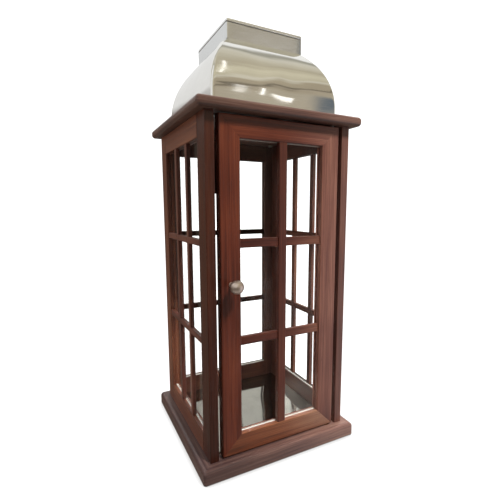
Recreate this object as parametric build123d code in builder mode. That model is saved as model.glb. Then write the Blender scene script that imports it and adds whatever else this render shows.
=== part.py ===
from build123d import *
import os
from math import sqrt

# A wooden candle lantern. Millimetres, +Z up, origin at the middle of the base's underside.
# The door is on the front, which faces -Y, and +X is to its right.

# Case, measured over the outside of the frames and between the two boards
body_width = 220.0
body_depth = 220.0
body_height = 456.0

# Boards
base_thickness = 20.0
base_overhang = 14.0
base_edge_radius = 6.0
base_foot_radius = 2.0
top_thickness = 13.0
top_overhang = 13.0
top_edge_radius = 5.0
board_corner_radius = 4.0
vent_diameter = 110.0

# Frame stock and its joinery
frame_thickness = 12.5
frame_member_width = 29.0
back_stile_width = 16.5
stock_edge_radius = 1.0
rail_tenon_wall = 1.5
rail_tenon_thickness = 4.0
rail_tenon_shoulder = 5.0
joint_clearance = 0.1

# Glazing: a sheet in a rabbet, held from inside by beads
rabbet_width = 6.0
glass_thickness = 2.0
bead_thickness = 4.0
glass_clearance = 0.4
bead_end_gap = 0.3

# Lattice bars
bar_width = 9.0
bar_recess = 0.8
bar_edge_radius = 0.8
bar_tenon_length = 4.0
bar_tenon_thickness = 3.0
bar_tenon_shoulder = 1.5
bar_tenon_setback = 1.2
fixed_uprights = 2
crossbars = 2

# Door
door_thickness = 14.0
door_member_width = 28.0
door_side_gap = 6.0
door_top_gap = 2.0
door_bottom_gap = 2.0
door_edge_radius = 1.5
door_bar_width = 12.0
door_upright_recess = 0.6
door_crossbar_recess = 2.6
door_uprights = 1

# Door pivots
pivot_diameter = 5.0
pivot_clearance = 0.05
pivot_inset = 7.0
pivot_door_depth = 16.0
pivot_board_depth = 9.0
pivot_end_gap = 0.5
washer_diameter = 13.0
washer_clearance = 0.2

# Knob
knob_diameter = 18.0
knob_reach = 18.5
knob_neck_diameter = 5.0
knob_foot_diameter = 7.0
knob_foot_thickness = 1.0
knob_cove_radius = 0.5
knob_above_middle = 13.5
knob_screw_diameter = 3.0
knob_screw_bite = 12.0

# Magnetic catch on the left frame, and its strike plate on the door
catch_above_middle = 153.0
catch_wall = 1.0
catch_depth = 10.0
catch_length = 46.0
catch_screw_spacing = 36.0
magnet_width = 8.0
magnet_depth = 5.0
magnet_length = 24.0
magnet_proud = 0.5
catch_air_gap = 0.3
strike_width = 12.0
strike_length = 40.0
strike_thickness = 1.0
strike_edge_inset = 1.0
strike_screw_spacing = 32.0
small_screw_diameter = 3.0
small_screw_length = 10.0
catch_screw_bite = 4.0

# Wood screws under the base and dowels under the top board
wood_screw_diameter = 4.0
wood_screw_bite = 20.0
wood_screw_sink = 0.5
dowel_diameter = 6.0
dowel_bite = 18.0
dowel_board_depth = 8.0

# Roof of polished sheet steel
sheet_thickness = 1.0
roof_setback = 14.0
roof_wall_height = 16.0
roof_arc_radius = 100.0
roof_arc_run = 37.0
roof_hip_radius = 1.5
roof_flange_width = 16.0
roof_screw_diameter = 4.0
roof_screw_tip = 4.0
chimney_height = 20.6
chimney_corner_radius = 1.5
cap_rim_height = 3.2
cap_seam_height = 1.2
cap_seam_depth = 0.5
cap_plug_depth = 8.0
cap_plug_clearance = 0.3

# Floor plate of sheet steel
floor_thickness = 1.0
floor_clearance = 1.0

# Screw heads, as multiples of the shank's diameter
head_ratio = 2.0
head_height_ratio = 0.55

# Levels and places that follow from the sizes above
base_top = base_thickness
top_underside = base_top + body_height
top_upper_face = top_underside + top_thickness
front_face = -body_depth / 2
inner_x = body_width / 2 - frame_thickness
back_inner_y = body_depth / 2 - frame_thickness

door_width = body_width - 2 * (frame_thickness + door_side_gap)
door_height = body_height - door_top_gap - door_bottom_gap
door_foot = base_top + door_bottom_gap
door_head = top_underside - door_top_gap
door_back = front_face + door_thickness
pivot_x = door_width / 2 - pivot_inset
pivot_y = front_face + door_thickness / 2
knob_x = -(door_width - door_member_width) / 2
door_middle = door_foot + door_height / 2
knob_z = door_middle + knob_above_middle

roof_width = body_width - 2 * roof_setback
roof_depth = body_depth - 2 * roof_setback
roof_shoulder = top_upper_face + roof_wall_height
roof_arc_rise = sqrt(roof_arc_radius**2 - (roof_arc_radius - roof_arc_run) ** 2)
chimney_width = roof_width - 2 * roof_arc_run
chimney_depth = roof_depth - 2 * roof_arc_run
chimney_foot = roof_shoulder + roof_arc_rise
chimney_top = chimney_foot + chimney_height

os.makedirs("parts", exist_ok=True)


def save(piece, label):
    """Name a finished piece and write it to its own file."""
    piece.part.label = label
    export_step(piece.part, f"parts/{label}.step")


class Panel:
    """A glazed frame. Its plane lies on the outer face: x to the right seen from outside, y up,
    origin at the middle of the foot. Depths are counted inwards from that face."""

    def __init__(self, name, plane, width, height, stile, rail, thickness):
        self.name = name
        self.plane = plane
        self.width = width
        self.height = height
        self.stile = stile
        self.rail = rail
        self.thickness = thickness
        self.opening_width = width - 2 * stile
        self.opening_height = height - 2 * rail
        self.middle = height / 2
        self.lip = thickness - glass_thickness - bead_thickness
        self.bar_tenon_back = self.lip - bar_tenon_setback
        self.bar_tenon_front = self.bar_tenon_back - bar_tenon_thickness
        self.rail_tenon_length = (stile - dowel_diameter) / 2 - rail_tenon_wall

    def upright_places(self, count):
        """Distances of the uprights from the middle, at equal shares of the opening."""
        share = self.opening_width / (count + 1)
        return [share * (step + 1) - self.opening_width / 2 for step in range(count)]

    def crossbar_places(self, count):
        """Heights of the crossbars, at equal shares of the opening."""
        share = self.opening_height / (count + 1)
        return [self.rail + share * (step + 1) for step in range(count)]


def block(panel, x, y, width, height, front, back, mode=Mode.ADD):
    """Rectangular block in the active part, from depth front to depth back on a panel."""
    with BuildSketch(panel.plane.offset(-back)) as outline:
        with Locations((x, y)):
            Rectangle(width, height)
    extrude(outline.sketch, amount=back - front, mode=mode)


def cylinder(x, y, foot, head, diameter, mode=Mode.ADD):
    """Upright round pin or hole in the active part."""
    with BuildSketch(Plane.XY.offset(foot)) as outline:
        with Locations((x, y)):
            Circle(diameter / 2)
    extrude(outline.sketch, amount=head - foot, mode=mode)


def cut_rabbet(panel):
    """Step round the inside of the opening that takes the glass and its beads."""
    width = panel.opening_width + 2 * rabbet_width
    height = panel.opening_height + 2 * rabbet_width
    block(panel, 0, panel.middle, width, height, panel.lip, panel.thickness, Mode.SUBTRACT)


def cut_bar_mortise(panel, x, y, along_x, along_y):
    """Blind slot for the stub tenon of a lattice bar, centred on the opening's edge."""
    front = panel.bar_tenon_front - joint_clearance
    back = panel.bar_tenon_back + joint_clearance
    width = along_x + 2 * joint_clearance
    height = along_y + 2 * joint_clearance
    block(panel, x, y, width, height, front, back, Mode.SUBTRACT)


def cut_crossbar_mortises(panel, side, width):
    """Slots for the crossbars in a stile."""
    edge = side * panel.opening_width / 2
    for level in panel.crossbar_places(crossbars):
        tenon = width - 2 * bar_tenon_shoulder
        cut_bar_mortise(panel, edge, level, 2 * bar_tenon_length, tenon)


def cut_upright_mortises(panel, edge, count, width):
    """Slots for the uprights in a rail whose opening edge is at the given height."""
    for place in panel.upright_places(count):
        tenon = width - 2 * bar_tenon_shoulder
        cut_bar_mortise(panel, place, edge, tenon, 2 * bar_tenon_length)


def ease_long_edges(piece, direction, radius):
    """Round the edges that run along the piece."""
    fillet(piece.edges().filter_by(Axis((0, 0, 0), direction)), radius)


def screw(seat, diameter, length, countersunk):
    """Screw in the active part: its head is at the seat plane, its shank runs along the plane's z."""
    head_radius = head_ratio * diameter / 2
    head_height = head_height_ratio * diameter
    upwards = (Align.CENTER, Align.CENTER, Align.MIN)
    with Locations(seat):
        Cylinder(diameter / 2, length, align=upwards)
        if countersunk:
            Cone(head_radius, diameter / 2, head_height, align=upwards)
    if not countersunk:
        with Locations(seat.offset(-head_height)):
            Cylinder(head_radius, head_height, align=upwards)


def cut_screw_hole(seat, diameter, length, countersunk):
    """Hole for a screw, from its seat plane along the plane's z."""
    radius = diameter / 2 + joint_clearance
    head_radius = head_ratio * diameter / 2 + joint_clearance
    head_height = head_height_ratio * diameter
    upwards = (Align.CENTER, Align.CENTER, Align.MIN)
    with Locations(seat):
        Cylinder(radius, length + joint_clearance, align=upwards, mode=Mode.SUBTRACT)
        if countersunk:
            Cone(head_radius, radius, head_height, align=upwards, mode=Mode.SUBTRACT)


# The four panels, and each one's stock: the width of its stiles and of its rails, and its thickness
left_face = Plane((-body_width / 2, 0, base_top), x_dir=(0, -1, 0), z_dir=(-1, 0, 0))
right_face = Plane((body_width / 2, 0, base_top), x_dir=(0, 1, 0), z_dir=(1, 0, 0))
back_face = Plane((0, body_depth / 2, base_top), x_dir=(-1, 0, 0), z_dir=(0, 1, 0))
door_face = Plane((0, front_face, door_foot), x_dir=(1, 0, 0), z_dir=(0, -1, 0))
back_width = body_width - 2 * frame_thickness

side_stock = (frame_member_width, frame_member_width, frame_thickness)
back_stock = (back_stile_width, frame_member_width, frame_thickness)
door_stock = (door_member_width, door_member_width, door_thickness)

left = Panel("left", left_face, body_depth, body_height, *side_stock)
right = Panel("right", right_face, body_depth, body_height, *side_stock)
back = Panel("back", back_face, back_width, body_height, *back_stock)
door = Panel("door", door_face, door_width, door_height, *door_stock)

# Names of each fixed frame's stiles, seen from outside: on its left, on its right
stile_names = {"left": ("rear", "front"), "right": ("front", "rear"), "back": ("right", "left")}


def stile_ends(panel):
    """Places on plan of the centres of a fixed frame's two stiles."""
    reach = (panel.width - panel.stile) / 2
    middle = panel.thickness / 2
    return [panel.plane.from_local_coords(Vector(side * reach, 0, -middle)) for side in (-1, 1)]


stile_centres = [(end.X, end.Y) for panel in (left, right, back) for end in stile_ends(panel)]
wood_screw_length = base_thickness - wood_screw_sink + wood_screw_bite
screw_seats = [Plane((x, y, wood_screw_sink)) for x, y in stile_centres]

# Where the knob, the strike plate and the magnetic catch are fastened
knob_seat = Plane((knob_x, door_back, knob_z), z_dir=(0, -1, 0))
knob_screw_length = door_thickness + knob_screw_bite
catch_z = door_middle + catch_above_middle
strike_x = -door_width / 2 + strike_edge_inset + strike_width / 2
strike_face = door_back + strike_thickness
strike_seats = [
    Plane((strike_x, strike_face, catch_z + side * strike_screw_spacing / 2), z_dir=(0, -1, 0))
    for side in (-1, 1)
]
catch_face = strike_face + catch_air_gap + magnet_proud
magnet_reach = door_side_gap + strike_edge_inset + magnet_width
catch_width = magnet_reach + catch_wall
catch_head_x = -inner_x + catch_width
rabbet_front = front_face + frame_member_width - rabbet_width
catch_screw_y = (strike_face + rabbet_front) / 2
catch_screw_length = catch_width + catch_screw_bite
catch_seats = [
    Plane((catch_head_x, catch_screw_y, catch_z + side * catch_screw_spacing / 2), z_dir=(-1, 0, 0))
    for side in (-1, 1)
]


def fixed_stile(panel, side):
    """Full-height stile with mortises for both rails and for the crossbars."""
    place = side * (panel.width - panel.stile) / 2
    edge = side * panel.opening_width / 2
    tenon_width = panel.rail - 2 * rail_tenon_shoulder + 2 * joint_clearance
    tenon_front = (panel.lip - rail_tenon_thickness) / 2 - joint_clearance
    tenon_back = panel.lip - tenon_front
    reach = 2 * (panel.rail_tenon_length + joint_clearance)
    centre = panel.plane.from_local_coords(Vector(place, 0, -panel.thickness / 2))
    with BuildPart() as stile:
        block(panel, place, panel.middle, panel.stile, panel.height, 0, panel.thickness)
        ease_long_edges(stile, (0, 0, 1), stock_edge_radius)
        cut_rabbet(panel)
        for level in (panel.rail / 2, panel.height - panel.rail / 2):
            block(panel, edge, level, reach, tenon_width, tenon_front, tenon_back, Mode.SUBTRACT)
        cut_crossbar_mortises(panel, side, bar_width)
        dowel_hole = dowel_diameter + 2 * joint_clearance
        dowel_foot = top_underside - dowel_bite - joint_clearance
        cylinder(centre.X, centre.Y, dowel_foot, top_underside, dowel_hole, Mode.SUBTRACT)
        cut_screw_hole(Plane((centre.X, centre.Y, base_top)), wood_screw_diameter, wood_screw_bite, False)
        if panel is left and side > 0:
            for seat in catch_seats:
                cut_screw_hole(seat, small_screw_diameter, catch_screw_length, False)
    return stile


def fixed_rail(panel, upper):
    """Rail between the stiles, with a tenon at each end and mortises for the uprights."""
    level = panel.height - panel.rail / 2 if upper else panel.rail / 2
    edge = panel.height - panel.rail if upper else panel.rail
    tenon_span = panel.opening_width + 2 * panel.rail_tenon_length
    tenon_width = panel.rail - 2 * rail_tenon_shoulder
    tenon_front = (panel.lip - rail_tenon_thickness) / 2
    tenon_back = panel.lip - tenon_front
    with BuildPart() as rail:
        block(panel, 0, level, panel.opening_width, panel.rail, 0, panel.thickness)
        ease_long_edges(rail, panel.plane.x_dir, stock_edge_radius)
        cut_rabbet(panel)
        block(panel, 0, level, tenon_span, tenon_width, tenon_front, tenon_back)
        cut_upright_mortises(panel, edge, fixed_uprights, bar_width)
    return rail


def upright_bar(panel, place, width, recess, crossing_front):
    """Upright with stub tenons, notched from behind where the crossbars pass."""
    tenon = panel.opening_height + 2 * bar_tenon_length
    tenon_width = width - 2 * bar_tenon_shoulder
    lap = (crossing_front + panel.lip) / 2
    notch = width + 2 * joint_clearance
    with BuildPart() as bar:
        block(panel, place, panel.middle, width, panel.opening_height, recess, panel.lip)
        outer = bar.faces().sort_by(Axis(panel.plane.origin, panel.plane.z_dir))[-1]
        fillet(outer.edges().filter_by(Axis.Z), bar_edge_radius)
        block(panel, place, panel.middle, tenon_width, tenon, panel.bar_tenon_front, panel.bar_tenon_back)
        for level in panel.crossbar_places(crossbars):
            block(panel, place, level, notch, notch, lap, panel.lip, Mode.SUBTRACT)
    return bar


def crossbar(panel, level, count, width, recess):
    """Crossbar with stub tenons, notched from the front where the uprights pass."""
    tenon = panel.opening_width + 2 * bar_tenon_length
    tenon_width = width - 2 * bar_tenon_shoulder
    lap = (recess + panel.lip) / 2
    notch = width + 2 * joint_clearance
    along = Axis(panel.plane.origin, panel.plane.x_dir)
    with BuildPart() as bar:
        block(panel, 0, level, panel.opening_width, width, recess, panel.lip)
        outer = bar.faces().sort_by(Axis(panel.plane.origin, panel.plane.z_dir))[-1]
        fillet(outer.edges().filter_by(along), bar_edge_radius)
        block(panel, 0, level, tenon, tenon_width, panel.bar_tenon_front, panel.bar_tenon_back)
        for place in panel.upright_places(count):
            block(panel, place, level, notch, notch, recess, lap, Mode.SUBTRACT)
    return bar


def save_lattice(panel, count, width, upright_recess, crossbar_recess):
    """Uprights from left to right seen from outside, crossbars from the bottom up."""
    for step, place in enumerate(panel.upright_places(count)):
        bar = upright_bar(panel, place, width, upright_recess, crossbar_recess)
        save(bar, f"{panel.name}_upright_{step + 1}" if count > 1 else f"{panel.name}_upright")
    for step, level in enumerate(panel.crossbar_places(crossbars)):
        save(crossbar(panel, level, count, width, crossbar_recess), f"{panel.name}_crossbar_{step + 1}")


def glass_sheet(panel):
    """Sheet of glass that lies against the rabbet's step and the backs of the bars."""
    overlap = 2 * (rabbet_width - glass_clearance)
    with BuildPart() as sheet:
        width = panel.opening_width + overlap
        height = panel.opening_height + overlap
        block(panel, 0, panel.middle, width, height, panel.lip, panel.lip + glass_thickness)
    return sheet


def glass_beads(panel):
    """Four strips that fill the rabbet behind the glass, the side ones between the others."""
    long_strip = panel.opening_width + 2 * rabbet_width
    short_strip = panel.opening_height - 2 * bead_end_gap
    across = (panel.opening_width + rabbet_width) / 2
    upward = (panel.opening_height + rabbet_width) / 2
    front = panel.lip + glass_thickness
    with BuildPart() as beads:
        for side in (-1, 1):
            block(panel, 0, panel.middle + side * upward, long_strip, rabbet_width, front, panel.thickness)
            block(panel, side * across, panel.middle, rabbet_width, short_strip, front, panel.thickness)
    return beads


for panel in (left, right, back):
    for side, place in zip((-1, 1), stile_names[panel.name]):
        save(fixed_stile(panel, side), f"{panel.name}_{place}_stile")
    save(fixed_rail(panel, upper=True), f"{panel.name}_top_rail")
    save(fixed_rail(panel, upper=False), f"{panel.name}_bottom_rail")
    save_lattice(panel, fixed_uprights, bar_width, bar_recess, bar_recess)
    save(glass_sheet(panel), f"{panel.name}_glass")
    save(glass_beads(panel), f"{panel.name}_glass_beads")


# Door: a frame mitred at its corners, hung on two pins near its right edge
def mitre_plane(side, upper):
    """Plane of a corner's mitre, with its normal towards the stile."""
    level = door.height if upper else 0
    corner = door.plane.from_local_coords(Vector(side * door.width / 2, level, 0))
    return Plane(corner, z_dir=door.plane.x_dir * side + door.plane.y_dir * (-1 if upper else 1))


def cut_pivot_holes():
    """Holes in the door's ends that turn on the pivot pins."""
    bore = pivot_diameter + 2 * pivot_clearance
    cylinder(pivot_x, pivot_y, door_foot, door_foot + pivot_door_depth, bore, Mode.SUBTRACT)
    cylinder(pivot_x, pivot_y, door_head - pivot_door_depth, door_head, bore, Mode.SUBTRACT)


def door_stile(side):
    """Mitred stile, with the pivot holes on the hinge side and the fittings' holes on the other."""
    with BuildPart() as stile:
        place = side * (door.width - door.stile) / 2
        block(door, place, door.middle, door.stile, door.height, 0, door.thickness)
        ease_long_edges(stile, (0, 0, 1), door_edge_radius)
        for upper in (False, True):
            split(bisect_by=mitre_plane(side, upper), keep=Keep.TOP)
        cut_rabbet(door)
        cut_crossbar_mortises(door, side, door_bar_width)
        if side > 0:
            cut_pivot_holes()
        else:
            cut_screw_hole(knob_seat, knob_screw_diameter, knob_screw_length, False)
            for seat in strike_seats:
                cut_screw_hole(seat, small_screw_diameter, small_screw_length, True)
    return stile


def door_rail(upper):
    """Mitred rail."""
    with BuildPart() as rail:
        level = door.height - door.rail / 2 if upper else door.rail / 2
        edge = door.height - door.rail if upper else door.rail
        block(door, 0, level, door.width, door.rail, 0, door.thickness)
        ease_long_edges(rail, (1, 0, 0), door_edge_radius)
        for side in (-1, 1):
            split(bisect_by=mitre_plane(side, upper), keep=Keep.BOTTOM)
        cut_rabbet(door)
        cut_upright_mortises(door, edge, door_uprights, door_bar_width)
        cut_pivot_holes()
    return rail


save(door_stile(1), "door_hinge_stile")
save(door_stile(-1), "door_knob_stile")
save(door_rail(True), "door_top_rail")
save(door_rail(False), "door_bottom_rail")
save_lattice(door, door_uprights, door_bar_width, door_upright_recess, door_crossbar_recess)
save(glass_sheet(door), "door_glass")
save(glass_beads(door), "door_glass_beads")

# Pivot pins, fixed in the boards, and the washer that the door turns on
pin_length = pivot_door_depth - pivot_end_gap

with BuildPart() as lower_pivot_pin:
    cylinder(pivot_x, pivot_y, base_top - pivot_board_depth, door_foot + pin_length, pivot_diameter)
save(lower_pivot_pin, "lower_pivot_pin")

with BuildPart() as upper_pivot_pin:
    cylinder(pivot_x, pivot_y, door_head - pin_length, top_underside + pivot_board_depth, pivot_diameter)
save(upper_pivot_pin, "upper_pivot_pin")

with BuildPart() as pivot_washer:
    washer_top = door_foot - washer_clearance
    cylinder(pivot_x, pivot_y, base_top, washer_top, washer_diameter)
    cylinder(pivot_x, pivot_y, base_top, washer_top, pivot_diameter + 2 * joint_clearance, Mode.SUBTRACT)
save(pivot_washer, "pivot_washer")

# Knob: a ball on a coved neck, turned about an axis square to the door
with BuildPart() as knob:
    ball_radius = knob_diameter / 2
    neck_radius = knob_neck_diameter / 2
    foot_radius = knob_foot_diameter / 2
    cove_end = knob_foot_thickness + knob_cove_radius
    ball_start = knob_reach - sqrt(ball_radius**2 - neck_radius**2)
    knob_axis = Plane((knob_x, front_face, knob_z), x_dir=(0, -1, 0), z_dir=(0, 0, 1))
    with BuildSketch(knob_axis):
        with BuildLine():
            Polyline((0, 0), (0, foot_radius), (knob_foot_thickness, foot_radius))
            Line((knob_foot_thickness, foot_radius), (knob_foot_thickness, neck_radius + knob_cove_radius))
            RadiusArc(
                (knob_foot_thickness, neck_radius + knob_cove_radius),
                (cove_end, neck_radius),
                knob_cove_radius,
            )
            Line((cove_end, neck_radius), (ball_start, neck_radius))
            ThreePointArc(
                (ball_start, neck_radius),
                (knob_reach, ball_radius),
                (knob_reach + ball_radius, 0),
            )
            Line((knob_reach + ball_radius, 0), (0, 0))
        make_face()
    revolve(axis=Axis(knob_axis.origin, knob_axis.x_dir))
    cut_screw_hole(knob_seat, knob_screw_diameter, knob_screw_length, False)
save(knob, "knob")

with BuildPart() as knob_screw:
    screw(knob_seat, knob_screw_diameter, knob_screw_length, countersunk=False)
save(knob_screw, "knob_screw")

# Magnetic catch behind the door's free edge
catch_centre_x = -inner_x + catch_width / 2

with BuildPart() as catch_housing:
    with BuildSketch(Plane((catch_centre_x, catch_face, catch_z), x_dir=(1, 0, 0), z_dir=(0, 1, 0))):
        Rectangle(catch_width, catch_length)
    extrude(amount=catch_depth)
    magnet_x = -inner_x + magnet_reach - magnet_width / 2
    with BuildSketch(Plane((magnet_x, catch_face, catch_z), x_dir=(1, 0, 0), z_dir=(0, 1, 0))):
        Rectangle(magnet_width + 2 * joint_clearance, magnet_length + 2 * joint_clearance)
    extrude(amount=magnet_depth - magnet_proud, mode=Mode.SUBTRACT)
    for seat in catch_seats:
        cut_screw_hole(seat, small_screw_diameter, catch_screw_length, False)
save(catch_housing, "catch_housing")

with BuildPart() as catch_magnet:
    magnet_face = Plane((magnet_x, catch_face - magnet_proud, catch_z), x_dir=(1, 0, 0), z_dir=(0, 1, 0))
    with BuildSketch(magnet_face):
        Rectangle(magnet_width, magnet_length)
    extrude(amount=magnet_depth)
save(catch_magnet, "catch_magnet")

with BuildPart() as catch_screws:
    for seat in catch_seats:
        screw(seat, small_screw_diameter, catch_screw_length, countersunk=False)
save(catch_screws, "catch_screws")

with BuildPart() as strike_plate:
    with BuildSketch(Plane((strike_x, door_back, catch_z), x_dir=(1, 0, 0), z_dir=(0, 1, 0))):
        RectangleRounded(strike_width, strike_length, strike_width / 4)
    extrude(amount=strike_thickness)
    for seat in strike_seats:
        cut_screw_hole(seat, small_screw_diameter, small_screw_length, True)
save(strike_plate, "strike_plate")

with BuildPart() as strike_screws:
    for seat in strike_seats:
        screw(seat, small_screw_diameter, small_screw_length - joint_clearance, countersunk=True)
save(strike_screws, "strike_screws")

# Base board, with countersunk holes from below and the lower pivot's hole
with BuildPart() as base_board:
    with BuildSketch():
        RectangleRounded(body_width + 2 * base_overhang, body_depth + 2 * base_overhang, board_corner_radius)
    extrude(amount=base_thickness)
    fillet(base_board.faces().sort_by(Axis.Z)[-1].edges(), base_edge_radius)
    fillet(base_board.faces().sort_by(Axis.Z)[0].edges(), base_foot_radius)
    for seat in screw_seats:
        cut_screw_hole(seat, wood_screw_diameter, wood_screw_length, True)
        cylinder(
            seat.origin.X,
            seat.origin.Y,
            0,
            wood_screw_sink,
            head_ratio * wood_screw_diameter + 2 * joint_clearance,
            Mode.SUBTRACT,
        )
    pin_hole = pivot_diameter + 2 * pivot_clearance
    cylinder(pivot_x, pivot_y, base_top - pivot_board_depth, base_top, pin_hole, Mode.SUBTRACT)
save(base_board, "base_board")

with BuildPart() as base_screws:
    for seat in screw_seats:
        screw(seat, wood_screw_diameter, wood_screw_length, countersunk=True)
save(base_screws, "base_screws")

# Floor plate: sheet steel on the base board, which takes the candles
with BuildPart() as floor_plate:
    floor_front = door_back + strike_thickness + floor_clearance
    floor_back = back_inner_y - floor_clearance
    floor_width = 2 * (inner_x - floor_clearance)
    floor_depth = floor_back - floor_front
    floor_middle = (floor_front + floor_back) / 2
    with BuildSketch(Plane((0, floor_middle, base_top))):
        Rectangle(floor_width, floor_depth)
    extrude(amount=floor_thickness)
save(floor_plate, "floor_plate")

# Top board, with a round vent under the roof
roof_screw_x = (roof_width - roof_flange_width) / 2
roof_screw_y = (roof_depth - roof_flange_width) / 2
roof_screw_places = [
    Plane((x * roof_screw_x, y * roof_screw_y, top_underside)) for x in (-1, 1) for y in (-1, 1)
]
roof_screw_length = top_thickness + sheet_thickness + roof_screw_tip

with BuildPart() as top_board:
    with BuildSketch(Plane.XY.offset(top_underside)):
        RectangleRounded(body_width + 2 * top_overhang, body_depth + 2 * top_overhang, board_corner_radius)
        Circle(vent_diameter / 2, mode=Mode.SUBTRACT)
    extrude(amount=top_thickness)
    for rank in (0, -1):
        face = top_board.faces().filter_by(GeomType.PLANE).sort_by(Axis.Z)[rank]
        fillet(face.outer_wire().edges(), top_edge_radius)
    for x, y in stile_centres:
        dowel_hole = dowel_diameter + 2 * joint_clearance
        dowel_head = top_underside + dowel_board_depth + joint_clearance
        cylinder(x, y, top_underside, dowel_head, dowel_hole, Mode.SUBTRACT)
    for seat in roof_screw_places:
        cut_screw_hole(seat, roof_screw_diameter, roof_screw_length, False)
    pin_hole = pivot_diameter + 2 * pivot_clearance
    pin_head = top_underside + pivot_board_depth + joint_clearance
    cylinder(pivot_x, pivot_y, top_underside, pin_head, pin_hole, Mode.SUBTRACT)
save(top_board, "top_board")

with BuildPart() as top_dowels:
    for x, y in stile_centres:
        cylinder(x, y, top_underside - dowel_bite, top_underside + dowel_board_depth, dowel_diameter)
save(top_dowels, "top_dowels")


# Roof: four curved sides that meet at hips, each side upright at its foot and then an arc
def roof_profile(plane, width, inset):
    """Half-outline of a side, set in from the outer face by the given thickness, mirrored about z."""
    foot = width / 2 - inset
    radius = roof_arc_radius - inset
    centre = width / 2 - roof_arc_radius
    head = centre + sqrt(radius**2 - roof_arc_rise**2)
    with BuildSketch(plane) as outline:
        with BuildLine():
            Line((0, top_upper_face), (foot, top_upper_face))
            Line((foot, top_upper_face), (foot, roof_shoulder))
            RadiusArc((foot, roof_shoulder), (head, chimney_foot), -radius)
            Line((head, chimney_foot), (0, chimney_foot))
            Line((0, chimney_foot), (0, top_upper_face))
        make_face()
        mirror(about=Plane.YZ)
    return outline.sketch


def roof_block(inset):
    """Solid under the roof's sides: the outline seen from the front crossed with the one from the side."""
    with BuildPart() as solid:
        extrude(roof_profile(Plane.XZ, roof_width, inset), amount=roof_depth / 2, both=True)
        side_outline = roof_profile(Plane.YZ, roof_depth, inset)
        extrude(side_outline, amount=roof_width / 2, both=True, mode=Mode.INTERSECT)
    return solid.part


with BuildPart() as roof_shell:
    add(roof_block(0))
    hips = roof_shell.edges().filter_by(Axis.Z) + roof_shell.edges().filter_by(GeomType.LINE, reverse=True)
    fillet(hips, roof_hip_radius)
    add(roof_block(sheet_thickness), mode=Mode.SUBTRACT)
    with BuildSketch(Plane.XY.offset(top_upper_face)):
        Rectangle(roof_width - sheet_thickness, roof_depth - sheet_thickness)
        opening_width = roof_width - 2 * roof_flange_width
        opening_depth = roof_depth - 2 * roof_flange_width
        Rectangle(opening_width, opening_depth, mode=Mode.SUBTRACT)
    extrude(amount=sheet_thickness)
    for seat in roof_screw_places:
        cut_screw_hole(seat, roof_screw_diameter, roof_screw_length, False)
save(roof_shell, "roof_shell")

with BuildPart() as roof_screws:
    for seat in roof_screw_places:
        screw(seat, roof_screw_diameter, roof_screw_length, countersunk=False)
save(roof_screws, "roof_screws")

# Chimney: a square tube on the roof, closed by a cap that plugs into it
def chimney_section(level, inset, corner_radius=0):
    """Section at a level, set in from the chimney's outer face."""
    width = chimney_width - 2 * inset
    depth = chimney_depth - 2 * inset
    with BuildSketch(Plane.XY.offset(level)) as section:
        if corner_radius:
            RectangleRounded(width, depth, corner_radius)
        else:
            Rectangle(width, depth)
    return section.sketch


with BuildPart() as chimney:
    extrude(chimney_section(chimney_foot, 0, chimney_corner_radius), amount=chimney_height)
    extrude(chimney_section(chimney_foot, sheet_thickness), amount=chimney_height, mode=Mode.SUBTRACT)
save(chimney, "chimney")

with BuildPart() as chimney_cap:
    plug_inset = sheet_thickness + cap_plug_clearance
    plug_foot = chimney_top - cap_plug_depth
    rim_foot = chimney_top + cap_seam_height
    hollow_depth = cap_plug_depth + cap_seam_height + cap_rim_height - sheet_thickness
    extrude(chimney_section(plug_foot, plug_inset), amount=cap_plug_depth)
    extrude(chimney_section(chimney_top, cap_seam_depth), amount=cap_seam_height)
    extrude(chimney_section(rim_foot, 0, chimney_corner_radius), amount=cap_rim_height)
    hollow = chimney_section(plug_foot, plug_inset + sheet_thickness)
    extrude(hollow, amount=hollow_depth, mode=Mode.SUBTRACT)
save(chimney_cap, "chimney_cap")
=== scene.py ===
import bpy
import bmesh
import functools
import math
import numpy as np
from bpy.props import FloatProperty, FloatVectorProperty, PointerProperty
from bpy.types import Operator, Panel, PropertyGroup
from mathutils import Euler, Matrix, Vector


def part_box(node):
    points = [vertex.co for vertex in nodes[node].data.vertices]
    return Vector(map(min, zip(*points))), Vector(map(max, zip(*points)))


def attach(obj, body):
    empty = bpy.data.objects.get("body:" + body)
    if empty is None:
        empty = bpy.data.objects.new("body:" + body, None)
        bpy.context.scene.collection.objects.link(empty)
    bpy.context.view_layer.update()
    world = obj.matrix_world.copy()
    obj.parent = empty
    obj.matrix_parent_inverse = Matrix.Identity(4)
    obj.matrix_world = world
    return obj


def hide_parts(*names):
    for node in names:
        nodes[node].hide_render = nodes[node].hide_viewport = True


bl_info = {
    "name": "Candle lantern finish",
    "version": (1, 0, 0),
    "blender": (4, 5, 0),
    "location": "View3D > Sidebar > Lantern",
    "description": "Dresses a wooden candle lantern with its wood, steel and glass, and sets up a studio",
    "category": "Object",
}

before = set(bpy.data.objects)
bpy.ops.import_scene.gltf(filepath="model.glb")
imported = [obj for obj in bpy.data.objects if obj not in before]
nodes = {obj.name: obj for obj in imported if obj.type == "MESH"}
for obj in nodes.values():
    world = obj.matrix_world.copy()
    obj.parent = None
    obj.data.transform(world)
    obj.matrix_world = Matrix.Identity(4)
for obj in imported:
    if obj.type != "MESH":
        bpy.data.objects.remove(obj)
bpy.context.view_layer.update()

# The white round the lantern, as the camera sees it by itself and through glass
PAPER_STRENGTH = 1.3
PAPER_THROUGH_GLASS = 1.8
# The camera's square image in pixels, and its sensor in millimetres
IMAGE_SIDE = 500
SENSOR_WIDTH = 36.0

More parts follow.
